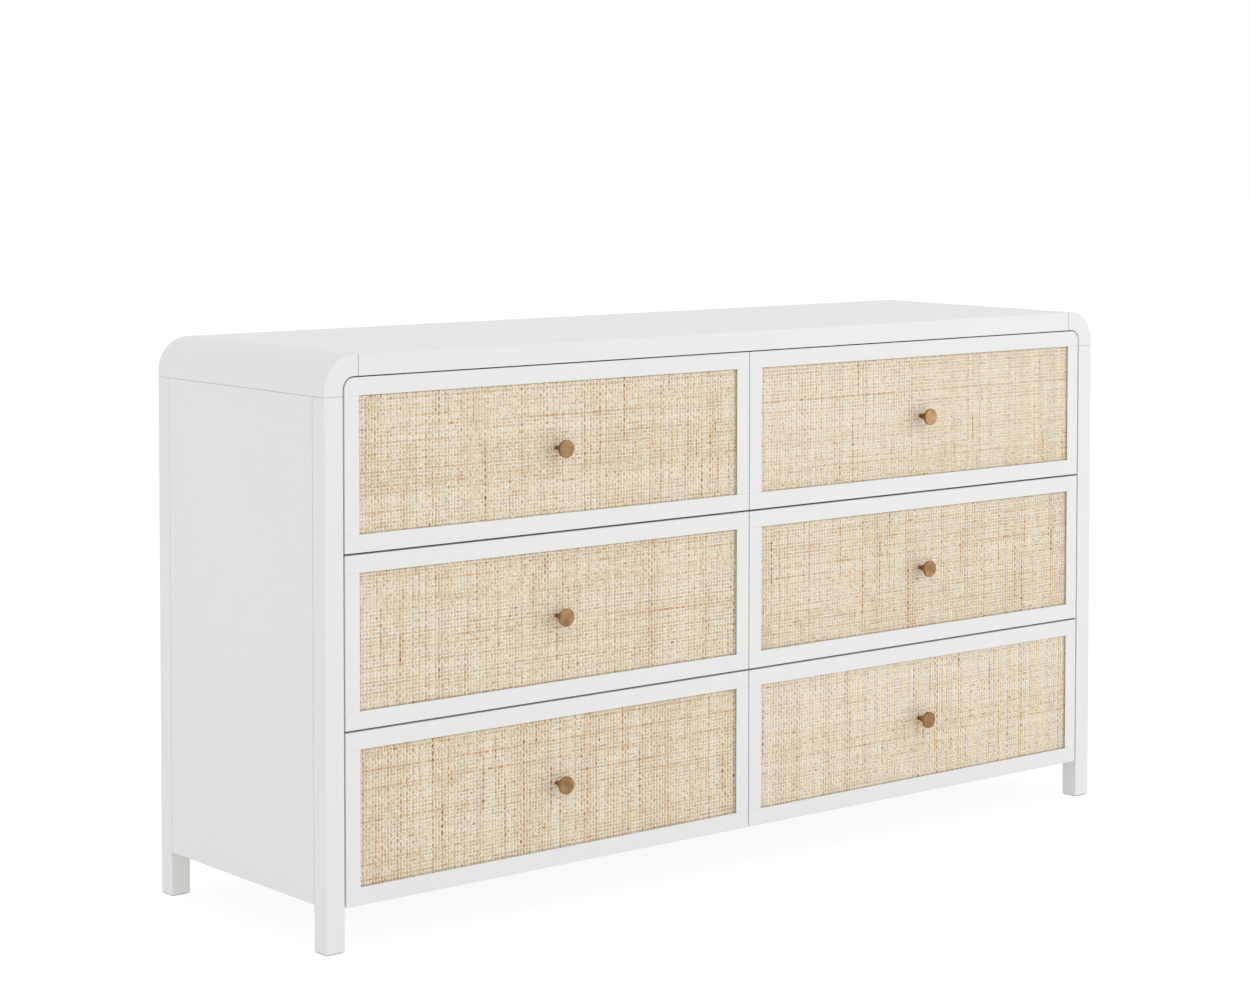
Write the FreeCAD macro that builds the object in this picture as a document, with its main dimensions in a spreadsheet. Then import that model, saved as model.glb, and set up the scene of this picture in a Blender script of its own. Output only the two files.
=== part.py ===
import FreeCAD, Part
import math
import os
import Sketcher

"""A low dresser with six drawers in two columns, whose fronts are framed cane panels.

Millimetres, +Z up. The origin is on the floor, midway along the width and midway between the
knobs' faces and the back of the carcass. The drawers open towards -Y.
"""

# ---------------------------------------------------------------- driving dimensions

DRIVING = {
    "overall_width": 1524,
    "carcass_depth": 442,
    "overall_height": 820,
    "knob_reach": 21.5,           # from the drawer fronts to the knobs' faces
    # legs, sides and top
    "leg_side": 30,
    "glide_height": 1,
    "glide_radius": 12,
    "top_thickness": 30,
    "block_width": 55,            # corner block: from the outer side to the seam in the top
    "block_height": 57,           # corner block: from the top down to the seam above the leg
    "outer_radius": 48,
    "side_thickness": 18,
    "underside": 65,              # height of the side panels' and the bottom's lower faces
    "eased_edge": 0.5,
    "block_seam": 0.3,            # shadow line under a corner block
    "side_seam": 0.8,             # shadow line between a leg and its side panel
    "top_seam": 0.9,              # shadow line between the top panel and a corner block
    # inside the carcass
    "divider_thickness": 18,
    "bottom_thickness": 12,
    "rail_thickness": 18,
    "front_rail_depth": 60,
    "front_rail_height": 36,
    "front_rail_end": 56,         # the top rail stops this far from the outer sides
    "back_rail_height": 50,
    "back_thickness": 6,
    "back_inset": 2,
    "batten_height": 60,
    "screw_radius": 1.75,
    "screw_head": 3.5,
    "screw_length": 20,
    "screw_pitch": 200,
    "screw_inset": 16,            # height of a row of screws above its rail's lower edge
    # drawer fronts
    "front_bottom": 61,
    "front_thickness": 18,
    "side_gap": 2.5,              # between a front and the leg beside it
    "middle_gap": 1.5,            # between the two columns
    "top_gap": 1.8,               # under the top
    "row_gap": 2.8,               # between two rows
    "front_clearance": 2,         # behind the closed fronts
    "cross_bar_height": 25,
    "stile_width": 24,
    "lip": 1.4,
    "rebate": 6,
    "cane_setback": 1.8,          # from the back of the lip to the cane, an open shadow gap
    "corner_radius": 16,
    "cane_thickness": 1.2,
    "panel_slack": 0.5,
    # drawer boxes
    "box_lift": 48,               # from a front's lower edge to its box's lower edge
    "box_height": 165,
    "box_depth": 350,
    "box_board": 12,
    "box_bottom": 6,
    "bottom_lift": 8,
    "groove_depth": 5,
    # runners
    "runner_space": 12.7,
    "runner_length": 350,
    "runner_lift": 60,            # from the box's lower edge to the runner's middle
    "runner_metal": 1.2,
    "member_mouth": 8,            # from a member's back to its edges
    "member_gap": 2,              # between the backs of the cabinet and the middle member
    "cabinet_member": 45,
    "mid_member": 38,
    "drawer_member": 32,
    # knobs
    "knob_radius": 13,
    "knob_head": 5,
    "knob_stem": 3.3,
    "knob_flare": 11,             # radius of the neck where it meets the head
    "knob_neck": 18,              # length of the flaring neck
    "knob_edge": 0.7,
    "knob_screw": 2,
    "knob_screw_play": 0.2,
    "knob_screw_bite": 14,
    "knob_screw_spare": 2,        # empty end of the knob's bore
    "knob_screw_head": 4,
    "knob_screw_head_height": 2.5,
}

doc = FreeCAD.newDocument("dresser")
sheet = doc.addObject("Spreadsheet::Sheet", "size")
for row, (alias, value) in enumerate(DRIVING.items(), start=1):
    sheet.set(f"A{row}", alias)
    sheet.set(f"B{row}", str(value))
    sheet.setAlias(f"B{row}", alias)
doc.recompute()


class Sizes:
    """Names of the sheet's cells, written as they stand in an expression."""

    def __getattr__(self, alias):
        if alias not in DRIVING:
            raise AttributeError(alias)
        return f"size.{alias}"


size = Sizes()


def total(*terms):
    """The sum of some expressions, in brackets."""
    return "(" + " + ".join(str(term) for term in terms) + ")"


def less(first, *others):
    """The first expression less all the others, in brackets."""
    return "(" + " - ".join(str(term) for term in (first, *others)) + ")"


def times(factor, term):
    """A number times an expression, in brackets."""
    return f"({factor} * {term})"


def number(expression):
    """What an expression comes to now."""
    return float(sheet.evalExpression(str(expression)))


# ---------------------------------------------------------------- places worked out from them

HALF_WIDTH = times(0.5, size.overall_width)
FRONT = times(0.5, less(size.knob_reach, size.carcass_depth))
BACK = times(0.5, total(size.knob_reach, size.carcass_depth))
INNER_HALF = less(HALF_WIDTH, size.leg_side)
UNDER_TOP = less(size.overall_height, size.top_thickness)
SEAM_HEIGHT = less(size.overall_height, size.block_height)
INNER_RADIUS = less(size.outer_radius, size.leg_side)
ARC_HEIGHT = less(size.overall_height, size.outer_radius)
HALF_DIVIDER = times(0.5, size.divider_thickness)
CARCASS_FRONT = total(FRONT, size.front_thickness, size.front_clearance)
RAILS_BACK = less(BACK, size.back_inset, size.back_thickness)
RAILS_FRONT = less(RAILS_BACK, size.rail_thickness)
BOTTOM_TOP = total(size.underside, size.bottom_thickness)

ROWS = ("bottom", "middle", "top")
COLUMNS = {"left": -1, "right": 1}
HALF_MIDDLE_GAP = times(0.5, size.middle_gap)
FRONT_WIDTH = less(INNER_HALF, size.side_gap, HALF_MIDDLE_GAP)
ROW_GAPS = times(len(ROWS) - 1, size.row_gap)
FRONT_HEIGHT = f"({less(UNDER_TOP, size.front_bottom, size.top_gap, ROW_GAPS)} / {len(ROWS)})"
ROW_PITCH = total(FRONT_HEIGHT, size.row_gap)
FRONT_CENTRE = total(HALF_MIDDLE_GAP, times(0.5, FRONT_WIDTH))
BAY_CENTRE = times(0.5, total(HALF_DIVIDER, INNER_HALF))
HALF_BAY = times(0.5, less(INNER_HALF, HALF_DIVIDER))
HALF_BOX = less(HALF_BAY, size.runner_space)
RUNNER_HEIGHT = total(size.box_lift, size.runner_lift)
KNOB_HEIGHT = times(0.5, FRONT_HEIGHT)
CANE_DEPTH = total(size.lip, size.cane_setback)


def row_height(row):
    """Height of a row's lower edge above the floor."""
    return total(size.front_bottom, times(ROWS.index(row), ROW_PITCH))


# ---------------------------------------------------------------- ways of making a piece

nodes = []


def place(thing, x="0", y="0", z="0"):
    """Bind an object's position to the sheet."""
    for axis, expression in zip("xyz", (x, y, z)):
        thing.setExpression(f"Placement.Base.{axis}", str(expression))
    return thing


def keep(thing):
    """Mark an object as a node of its own."""
    nodes.append(thing)
    return thing


def new_body(label):
    body = doc.addObject("PartDesign::Body", label)
    body.Label = label
    return body


def origin_plane(body, role):
    return next(plane for plane in body.Origin.OriginFeatures if plane.Role == role)


def new_sketch(body, name, role):
    """An empty sketch on one of the body's own origin planes."""
    sketch = body.newObject("Sketcher::SketchObject", name)
    sketch.AttachmentSupport = [(origin_plane(body, role), "")]
    sketch.MapMode = "FlatFace"
    return sketch


def bind(sketch, kind, *target, expression):
    """Add a dimension to a sketch and bind it to the sheet."""
    index = sketch.addConstraint(Sketcher.Constraint(kind, *target, number(expression)))
    sketch.setExpression(f"Constraints[{index}]", str(expression))


def draw_outline(sketch, corners, arcs=None):
    """Draw a closed outline through corners, each an (x, y) pair of expressions.

    arcs maps a corner's number to the centre of the arc that leaves it; other sides are straight.
    """
    arcs = arcs or {}
    points = [FreeCAD.Vector(number(x), number(y), 0) for x, y in corners]
    ends = []
    for index, start in enumerate(points):
        finish = points[(index + 1) % len(points)]
        if index not in arcs:
            side = sketch.addGeometry(Part.LineSegment(start, finish))
            ends.append((side, 1, 2))
            continue
        middle = FreeCAD.Vector(number(arcs[index][0]), number(arcs[index][1]), 0)
        angles = [math.atan2(p.y - middle.y, p.x - middle.x) for p in (start, finish)]
        forwards = (angles[1] - angles[0]) % (2 * math.pi) < math.pi
        first, last = angles if forwards else reversed(angles)
        circle = Part.Circle(middle, FreeCAD.Vector(0, 0, 1), (start - middle).Length)
        side = sketch.addGeometry(Part.ArcOfCircle(circle, first, last))
        ends.append((side, 1, 2) if forwards else (side, 2, 1))
        bind(sketch, "DistanceX", -1, 1, side, 3, expression=arcs[index][0])
    for index, (x, y) in enumerate(corners):
        side, start, _ = ends[index]
        previous, _, finish = ends[index - 1]
        sketch.addConstraint(Sketcher.Constraint("Coincident", previous, finish, side, start))
        bind(sketch, "DistanceX", -1, 1, side, start, expression=x)
        bind(sketch, "DistanceY", -1, 1, side, start, expression=y)
    return sketch


def draw_circles(sketch, radius, centres):
    """Draw equal circles about some centres."""
    for x, y in centres:
        middle = FreeCAD.Vector(number(x), number(y), 0)
        circle = sketch.addGeometry(Part.Circle(middle, FreeCAD.Vector(0, 0, 1), number(radius)))
        bind(sketch, "Radius", circle, expression=radius)
        bind(sketch, "DistanceX", -1, 1, circle, 3, expression=x)
        bind(sketch, "DistanceY", -1, 1, circle, 3, expression=y)
    return sketch


def rectangle(low_x, low_y, high_x, high_y):
    return [(low_x, low_y), (high_x, low_y), (high_x, high_y), (low_x, high_y)]


def pad(body, sketch, length, towards=None):
    """Pad a sketch; towards is the side of its plane, +1 or -1 along the body's own axis."""
    feature = body.newObject("PartDesign::Pad", "Pad")
    feature.Profile = sketch
    feature.setExpression("Length", str(length))
    doc.recompute()
    if towards is not None:
        box = feature.Shape.BoundBox
        middle = (box.XMin + box.XMax, box.YMin + box.YMax, box.ZMin + box.ZMax)
        normal = sketch.Placement.Rotation.multVec(FreeCAD.Vector(0, 0, 1))
        along = max(range(3), key=lambda axis: abs(normal[axis]))
        feature.Reversed = middle[along] * towards < 0
        doc.recompute()
    return feature


def pocket(body, sketch, length):
    """Cut a sketch into the body to a depth, on whichever side of its plane the body is."""
    before = body.Shape.Volume
    feature = body.newObject("PartDesign::Pocket", "Pocket")
    feature.Profile = sketch
    feature.setExpression("Length", str(length))
    doc.recompute()
    if before - body.Shape.Volume < 1:
        feature.Reversed = True
        doc.recompute()
    if before - body.Shape.Volume < 1:
        raise RuntimeError(f"the pocket in {body.Label} cuts nothing")
    return feature


def repeat_along_x(body, feature, occurrences, pitch):
    """Repeat a feature along X, at an even pitch."""
    pattern = body.newObject("PartDesign::LinearPattern", "Row")
    pattern.Originals = [feature]
    pattern.Direction = (next(a for a in body.Origin.OriginFeatures if a.Role == "X_Axis"), [""])
    pattern.Occurrences = occurrences
    pattern.setExpression("Length", times(occurrences - 1, pitch))
    body.Tip = pattern
    doc.recompute()
    return pattern


def revolve(body, sketch):
    """Turn a sketch all the way round its own upright axis."""
    feature = body.newObject("PartDesign::Revolution", "Revolution")
    feature.Profile = sketch
    feature.ReferenceAxis = (sketch, ["V_Axis"])
    feature.Angle = 360
    doc.recompute()
    return feature


def is_sharp(shape, edge):
    """Whether the two faces that meet at an edge turn there."""
    middle = edge.valueAt((edge.FirstParameter + edge.LastParameter) / 2)
    faces = shape.ancestorsOfType(edge, Part.Face)
    normals = [face.normalAt(*face.Surface.parameter(middle)) for face in faces]
    return len(normals) == 2 and normals[0].getAngle(normals[1]) > math.radians(20)


def ease(body):
    """Break every sharp edge of a body."""
    solid = body.Tip
    edges = enumerate(solid.Shape.Edges, start=1)
    names = [f"Edge{i}" for i, edge in edges if is_sharp(solid.Shape, edge)]
    chamfer = body.newObject("PartDesign::Chamfer", "EasedEdges")
    chamfer.Base = (solid, names)
    chamfer.setExpression("Size", size.eased_edge)
    doc.recompute()


def board(label, corner, length, width, height, eased=True):
    """A rectangular board, with its lowest corner at a place."""
    body = new_body(label)
    face = draw_outline(new_sketch(body, "Face", "XY_Plane"), rectangle("0", "0", length, width))
    pad(body, face, height)
    if eased:
        ease(body)
    return place(body, *corner)


def group(label, pieces):
    """One node made of several separate pieces."""
    compound = doc.addObject("Part::Compound", label)
    compound.Label = label
    compound.Links = pieces
    doc.recompute()
    return compound


# ---------------------------------------------------------------- carcass


def top_panel():
    """The flat of the top, between the two corner blocks."""
    half = less(HALF_WIDTH, size.block_width, size.top_seam)
    return board("top_panel", (times(-1, half), FRONT, UNDER_TOP),
                 times(2, half), size.carcass_depth, size.top_thickness)


def corner_block(name, side):
    """The quarter-round block that turns the top down into a side, all through the depth."""

    def across(inwards):
        return times(side, less(HALF_WIDTH, inwards))

    body = new_body(f"corner_block_{name}")
    corners = [
        (across("0"), SEAM_HEIGHT),
        (across("0"), ARC_HEIGHT),
        (across(size.outer_radius), size.overall_height),
        (across(size.block_width), size.overall_height),
        (across(size.block_width), UNDER_TOP),
        (across(size.outer_radius), UNDER_TOP),
        (across(size.leg_side), ARC_HEIGHT),
        (across(size.leg_side), SEAM_HEIGHT),
    ]
    centre = (across(size.outer_radius), ARC_HEIGHT)
    face = draw_outline(new_sketch(body, "Section", "XZ_Plane"), corners, {1: centre, 5: centre})
    pad(body, face, size.carcass_depth, towards=1)
    ease(body)
    return place(body, y=FRONT)


def leg(name, side, depth):
    """A square leg that runs from its glide up to the corner block."""
    x = HALF_WIDTH if side < 0 else INNER_HALF
    return board(f"leg_{name}", (times(side, x), depth, size.glide_height),
                 size.leg_side, size.leg_side, less(SEAM_HEIGHT, size.block_seam, size.glide_height))


def side_panel(name, side):
    """The side between its two legs, flush with their outer faces."""
    x = HALF_WIDTH if side < 0 else less(HALF_WIDTH, size.side_thickness)
    beside_leg = total(size.leg_side, size.side_seam)
    return board(f"side_panel_{name}", (times(side, x), total(FRONT, beside_leg), size.underside),
                 size.side_thickness, less(size.carcass_depth, times(2, beside_leg)),
                 less(SEAM_HEIGHT, size.block_seam, size.underside))


def foot_glides():
    """A round pad under each leg."""
    reach = less(HALF_WIDTH, times(0.5, size.leg_side))
    glides = []
    for across in (-1, 1):
        for depth in (total(FRONT, times(0.5, size.leg_side)), less(BACK, times(0.5, size.leg_side))):
            glide = doc.addObject("Part::Cylinder", f"glide_{len(glides) + 1}")
            glide.setExpression("Radius", size.glide_radius)
            glide.setExpression("Height", size.glide_height)
            glides.append(place(glide, times(across, reach), depth))
    return group("foot_glides", glides)


SCREWS_IN_A_ROW = 8
TOP_RAIL_HEIGHT = less(ARC_HEIGHT, size.back_rail_height)
SCREW_ROWS = (total(size.underside, size.screw_inset), total(TOP_RAIL_HEIGHT, size.screw_inset))
FIRST_SCREW = times(-(SCREWS_IN_A_ROW - 1) / 2, size.screw_pitch)


def back_panel():
    """The thin back, screwed to the back rails, with its top corners rounded to the blocks."""
    body = new_body("back_panel")
    shoulder = less(INNER_HALF, INNER_RADIUS)
    corners = [
        (times(-1, INNER_HALF), size.underside),
        (INNER_HALF, size.underside),
        (INNER_HALF, ARC_HEIGHT),
        (shoulder, UNDER_TOP),
        (times(-1, shoulder), UNDER_TOP),
        (times(-1, INNER_HALF), ARC_HEIGHT),
    ]
    arcs = {2: (shoulder, ARC_HEIGHT), 4: (times(-1, shoulder), ARC_HEIGHT)}
    face = draw_outline(new_sketch(body, "Face", "XZ_Plane"), corners, arcs)
    pad(body, face, size.back_thickness, towards=1)
    holes = new_sketch(body, "Holes", "XZ_Plane")
    draw_circles(holes, size.screw_radius, [(FIRST_SCREW, height) for height in SCREW_ROWS])
    hole = pocket(body, holes, size.back_thickness)
    repeat_along_x(body, hole, SCREWS_IN_A_ROW, size.screw_pitch)
    return place(body, y=RAILS_BACK)


def back_rail(label, height):
    """A rail between the back legs, drilled for the back's screws."""
    body = new_body(label)
    upper_edge = total(height, size.back_rail_height)
    face = new_sketch(body, "Face", "XZ_Plane")
    draw_outline(face, rectangle(times(-1, INNER_HALF), height, INNER_HALF, upper_edge))
    pad(body, face, size.rail_thickness, towards=1)
    holes = new_sketch(body, "Holes", "XZ_Plane")
    draw_circles(holes, size.screw_radius, [(FIRST_SCREW, total(height, size.screw_inset))])
    holes.setExpression("AttachmentOffset.Base.z", times(-1, size.rail_thickness))
    doc.recompute()
    hole = pocket(body, holes, less(size.screw_length, size.back_thickness))
    repeat_along_x(body, hole, SCREWS_IN_A_ROW, size.screw_pitch)
    return place(body, y=RAILS_FRONT)


def back_screw(index, across, height):
    """A round-headed screw through the back into its rail, with its thread left plain."""
    body = new_body(f"back_screw_{index}")
    crown = times(0.5, size.back_inset)
    corners = [
        ("0", times(-1, size.screw_length)),
        (size.screw_radius, times(-1, size.screw_length)),
        (size.screw_radius, "0"),
        (size.screw_head, "0"),
        (size.screw_head, times(0.5, crown)),
        (times(0.5, size.screw_head), crown),
        ("0", crown),
    ]
    revolve(body, draw_outline(new_sketch(body, "Profile", "XY_Plane"), corners))
    return place(body, across, less(BACK, size.back_inset), height)


def back_screws():
    screws = []
    for height in SCREW_ROWS:
        for count in range(SCREWS_IN_A_ROW):
            across = total(FIRST_SCREW, times(count, size.screw_pitch))
            screws.append(back_screw(len(screws) + 1, across, height))
    return group("back_screws", screws)


def front_rails():
    """The rail laid flat under the top and the rail on edge before the bottom."""
    top_half = less(HALF_WIDTH, size.front_rail_end)
    top = board("front_rail_top",
                (times(-1, top_half), CARCASS_FRONT, less(UNDER_TOP, size.rail_thickness)),
                times(2, top_half), size.front_rail_depth, size.rail_thickness)
    bottom = board("front_rail_bottom", (times(-1, INNER_HALF), CARCASS_FRONT, size.underside),
                   times(2, INNER_HALF), size.rail_thickness, size.front_rail_height)
    return group("front_rails", [top, bottom])


def bottom_panel():
    """The bottom, notched at the back to pass between the back legs."""
    body = new_body("bottom_panel")
    half = less(HALF_WIDTH, size.side_thickness)
    front = total(CARCASS_FRONT, size.rail_thickness)
    notch = less(BACK, size.leg_side)
    corners = [
        (times(-1, half), front),
        (half, front),
        (half, notch),
        (INNER_HALF, notch),
        (INNER_HALF, RAILS_FRONT),
        (times(-1, INNER_HALF), RAILS_FRONT),
        (times(-1, INNER_HALF), notch),
        (times(-1, half), notch),
    ]
    pad(body, draw_outline(new_sketch(body, "Face", "XY_Plane"), corners), size.bottom_thickness)
    return place(body, z=size.underside)


def centre_divider():
    """The upright between the two columns, notched round the front rails."""
    body = new_body("centre_divider")
    behind_top_rail = total(CARCASS_FRONT, size.front_rail_depth)
    behind_low_rail = total(CARCASS_FRONT, size.rail_thickness)
    under_top_rail = less(UNDER_TOP, size.rail_thickness)
    above_low_rail = total(size.underside, size.front_rail_height)
    corners = [
        (behind_low_rail, BOTTOM_TOP),
        (RAILS_FRONT, BOTTOM_TOP),
        (RAILS_FRONT, UNDER_TOP),
        (behind_top_rail, UNDER_TOP),
        (behind_top_rail, under_top_rail),
        (CARCASS_FRONT, under_top_rail),
        (CARCASS_FRONT, above_low_rail),
        (behind_low_rail, above_low_rail),
    ]
    face = draw_outline(new_sketch(body, "Face", "YZ_Plane"), corners)
    pad(body, face, size.divider_thickness, towards=1)
    return place(body, x=times(-1, HALF_DIVIDER))


def runner_battens():
    """The battens that bring the side panels in level with the legs, to carry the runners."""
    battens = []
    thickness = less(size.leg_side, size.side_thickness)
    inner = less(HALF_WIDTH, size.side_thickness)
    for name, side in COLUMNS.items():
        for row in ROWS:
            low = less(total(row_height(row), RUNNER_HEIGHT), times(0.5, size.batten_height))
            x = times(side, inner if side < 0 else INNER_HALF)
            battens.append(board(f"batten_{row}_{name}", (x, total(FRONT, size.leg_side), low),
                                 thickness, less(size.carcass_depth, times(2, size.leg_side)),
                                 size.batten_height, eased=False))
    return group("runner_battens", battens)


# ---------------------------------------------------------------- runners


def channel(label, wall, height, facing):
    """One member of a telescopic runner: a folded channel along Y, with its back at x = wall.

    facing is the side that its two edges reach to, -1 or 1.
    """
    body = new_body(label)
    half = times(0.5, height)
    inside = less(half, size.runner_metal)
    web = total(wall, times(facing, size.runner_metal))
    edge = total(wall, times(facing, size.member_mouth))
    corners = [
        (wall, times(-1, half)),
        (edge, times(-1, half)),
        (edge, times(-1, inside)),
        (web, times(-1, inside)),
        (web, inside),
        (edge, inside),
        (edge, half),
        (wall, half),
    ]
    section = draw_outline(new_sketch(body, "Section", "XZ_Plane"), corners)
    pad(body, section, size.runner_length, towards=1)
    return body


def runner_member(kind, place_name, wall, facing):
    """The member of one kind: fixed to the carcass, running between, or fixed to the drawer.

    wall is the carcass face that the runner is on, and facing points from it to the drawer.
    """
    label = f"{kind}_runner_{place_name}"
    if kind == "cabinet":
        return channel(label, wall, size.cabinet_member, facing)
    if kind == "mid":
        inset = total(wall, times(facing, size.member_gap))
        return channel(label, inset, size.mid_member, facing)
    drawer_side = total(wall, times(facing, size.runner_space))
    return channel(label, drawer_side, size.drawer_member, -facing)


def bay_walls(side):
    """The two carcass faces beside a column, each with the direction towards the drawer."""
    middle = times(side, BAY_CENTRE)
    return (("a", less(middle, HALF_BAY), 1), ("b", total(middle, HALF_BAY), -1))


def runner_pair(kind, row, name, side):
    """One member on each side of a column, at its row's height."""
    pair = []
    for end, wall, facing in bay_walls(side):
        member = runner_member(kind, f"{row}_{name}_{end}", wall, facing)
        pair.append(place(member, y=CARCASS_FRONT, z=total(row_height(row), RUNNER_HEIGHT)))
    return pair


# ---------------------------------------------------------------- drawers
# A drawer's pieces are drawn about the middle of its front's lower edge, on the front's face,
# and each node is then placed in its row and column.


def cross_bar(label, edge, inwards, rounded):
    """A bar across the whole front, with a rebate behind its lip for the cane panel.

    edge is the height of its outer edge and inwards the direction of its lip, up or down.
    rounded is the end with a rounded corner, -1 or 1, or 0 where there is none.
    """
    body = new_body(label)
    shoulder = total(edge, times(inwards, less(size.cross_bar_height, size.rebate)))
    inner = total(edge, times(inwards, size.cross_bar_height))
    corners = [
        ("0", edge),
        (size.front_thickness, edge),
        (size.front_thickness, shoulder),
        (size.lip, shoulder),
        (size.lip, inner),
        ("0", inner),
    ]
    section = draw_outline(new_sketch(body, "Section", "YZ_Plane"), corners)
    pad(body, section, FRONT_WIDTH, towards=1)
    if rounded:
        round_corner(body, FRONT_WIDTH if rounded > 0 else "0", edge)
    ease(body)
    return place(body, x=times(-0.5, FRONT_WIDTH))


def round_corner(body, across, height):
    """Round the edge that runs front to back at one end of a bar."""
    x, z = number(across), number(height)

    def on_corner(edge):
        ends = edge.Vertexes
        return len(ends) == 2 and all(abs(p.X - x) < 0.01 and abs(p.Z - z) < 0.01 for p in ends)

    solid = body.Tip
    names = [f"Edge{i}" for i, edge in enumerate(solid.Shape.Edges, start=1) if on_corner(edge)]
    fillet = body.newObject("PartDesign::Fillet", "RoundedCorner")
    fillet.Base = (solid, names)
    fillet.setExpression("Radius", size.corner_radius)
    doc.recompute()


def front_stile(label, side):
    """An upright bar between the cross bars, with a tongue at each end into their rebates."""
    body = new_body(label)
    edge = times(0.5 * side, FRONT_WIDTH)
    shoulder = less(edge, times(side, less(size.stile_width, size.rebate)))
    inner = less(edge, times(side, size.stile_width))
    low, high = size.cross_bar_height, less(FRONT_HEIGHT, size.cross_bar_height)
    face = new_sketch(body, "Lip", "XZ_Plane")
    draw_outline(face, rectangle(edge, low, inner, high))
    pad(body, face, size.lip, towards=1)
    tongue = new_sketch(body, "Tongue", "XZ_Plane")
    draw_outline(tongue, rectangle(edge, less(low, size.rebate), shoulder, total(high, size.rebate)))
    tongue.setExpression("AttachmentOffset.Base.z", times(-1, size.lip))
    pad(body, tongue, less(size.front_thickness, size.lip), towards=1)
    ease(body)
    return body


def drawer_frame(label, side, rounded):
    return group(label, [
        cross_bar(f"{label}_lower_bar", "0", 1, 0),
        cross_bar(f"{label}_upper_bar", FRONT_HEIGHT, -1, side if rounded else 0),
        front_stile(f"{label}_left_stile", -1),
        front_stile(f"{label}_right_stile", 1),
    ])


def drilled_panel(label, start, thickness):
    """A panel that lies in the frame's rebate, drilled for the knob's screw.

    The sheet is moved back to its own depth inside a group, which the drawer then moves as a whole.
    """
    body = new_body(f"{label}_sheet")
    under_lip = less(size.rebate, size.panel_slack)
    half = less(times(0.5, FRONT_WIDTH), less(size.stile_width, under_lip))
    low = less(size.cross_bar_height, under_lip)
    face = new_sketch(body, "Face", "XZ_Plane")
    draw_outline(face, rectangle(times(-1, half), low, half, less(FRONT_HEIGHT, low)))
    pad(body, face, thickness, towards=1)
    hole = new_sketch(body, "Hole", "XZ_Plane")
    draw_circles(hole, total(size.knob_screw, size.knob_screw_play), [("0", KNOB_HEIGHT)])
    pocket(body, hole, thickness)
    return group(label, [place(body, y=start)])


def knob(label):
    """A disc knob turned from brass, with its machine screw from inside the drawer."""
    turned = new_body(f"{label}_turned")
    face = total(CANE_DEPTH, size.knob_reach)
    head_back = less(face, size.knob_head)
    neck = less(head_back, size.knob_neck)
    flare_middle = less(head_back, times(0.3, size.knob_neck))
    bore = total(size.knob_screw, size.knob_screw_play)
    corners = [
        (bore, "0"),
        (size.knob_stem, "0"),
        (size.knob_stem, neck),
        (times(0.5, total(size.knob_stem, size.knob_flare)), flare_middle),
        (size.knob_flare, head_back),
        (less(size.knob_radius, size.knob_edge), head_back),
        (size.knob_radius, total(head_back, size.knob_edge)),
        (size.knob_radius, less(face, size.knob_edge)),
        (less(size.knob_radius, size.knob_edge), face),
        ("0", face),
        ("0", size.knob_screw_bite),
        (bore, size.knob_screw_bite),
    ]
    turned_corners = [(across, times(-1, along)) for across, along in corners]
    revolve(turned, draw_outline(new_sketch(turned, "Profile", "XY_Plane"), turned_corners))

    screw = new_body(f"{label}_screw")
    inside = total(less(size.front_thickness, CANE_DEPTH), size.box_board)
    tip = less(size.knob_screw_bite, size.knob_screw_spare)
    corners = [
        ("0", times(-1, tip)),
        (size.knob_screw, times(-1, tip)),
        (size.knob_screw, inside),
        (size.knob_screw_head, inside),
        (size.knob_screw_head, total(inside, times(0.5, size.knob_screw_head_height))),
        (times(0.5, size.knob_screw_head), total(inside, size.knob_screw_head_height)),
        ("0", total(inside, size.knob_screw_head_height)),
    ]
    revolve(screw, draw_outline(new_sketch(screw, "Profile", "XY_Plane"), corners))
    return group(label, [place(turned, y=CANE_DEPTH, z=KNOB_HEIGHT),
                         place(screw, y=CANE_DEPTH, z=KNOB_HEIGHT)])


def box_board(label, along, length, groove_side):
    """A board of the drawer box, along X or along Y, with a groove for the bottom.

    groove_side is 1 where the groove is in the board's far face and -1 where it is in the near one.
    """
    body = new_body(label)
    low = size.bottom_lift
    high = total(low, size.box_bottom)
    wall, groove = ("0", size.groove_depth) if groove_side < 0 else (
        size.box_board, less(size.box_board, size.groove_depth))
    other = size.box_board if groove_side < 0 else "0"
    corners = [(wall, "0"), (wall, low), (groove, low), (groove, high), (wall, high),
               (wall, size.box_height), (other, size.box_height), (other, "0")]
    section = new_sketch(body, "Section", "YZ_Plane" if along == "x" else "XZ_Plane")
    draw_outline(section, corners)
    pad(body, section, length, towards=1)
    return body


def drawer_box(label, side):
    """The box behind the front: two sides, a front, a back and a bottom let into their grooves."""
    middle = times(side, less(BAY_CENTRE, FRONT_CENTRE))
    left = less(middle, HALF_BOX)
    right = total(middle, HALF_BOX)
    start = size.front_thickness
    finish = total(start, size.box_depth)
    across = less(times(2, HALF_BOX), times(2, size.box_board))
    between = total(left, size.box_board)
    lift = size.box_lift
    pieces = []
    for name, along, corner, length, groove_side in (
        ("left", "y", (left, start, lift), size.box_depth, 1),
        ("right", "y", (less(right, size.box_board), start, lift), size.box_depth, -1),
        ("front", "x", (between, start, lift), across, 1),
        ("back", "x", (between, less(finish, size.box_board), lift), across, -1),
    ):
        body = box_board(f"{label}_{name}", along, length, groove_side)
        if name == "front":
            drill_box_front(body, between)
        pieces.append(place(body, *corner))
    reach = less(size.box_board, size.groove_depth)
    bottom = board(f"{label}_bottom",
                   (total(left, reach), total(start, reach), total(lift, size.bottom_lift)),
                   less(times(2, HALF_BOX), times(2, reach)),
                   less(size.box_depth, times(2, reach)), size.box_bottom, eased=False)
    pieces.append(bottom)
    return group(label, pieces)


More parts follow.
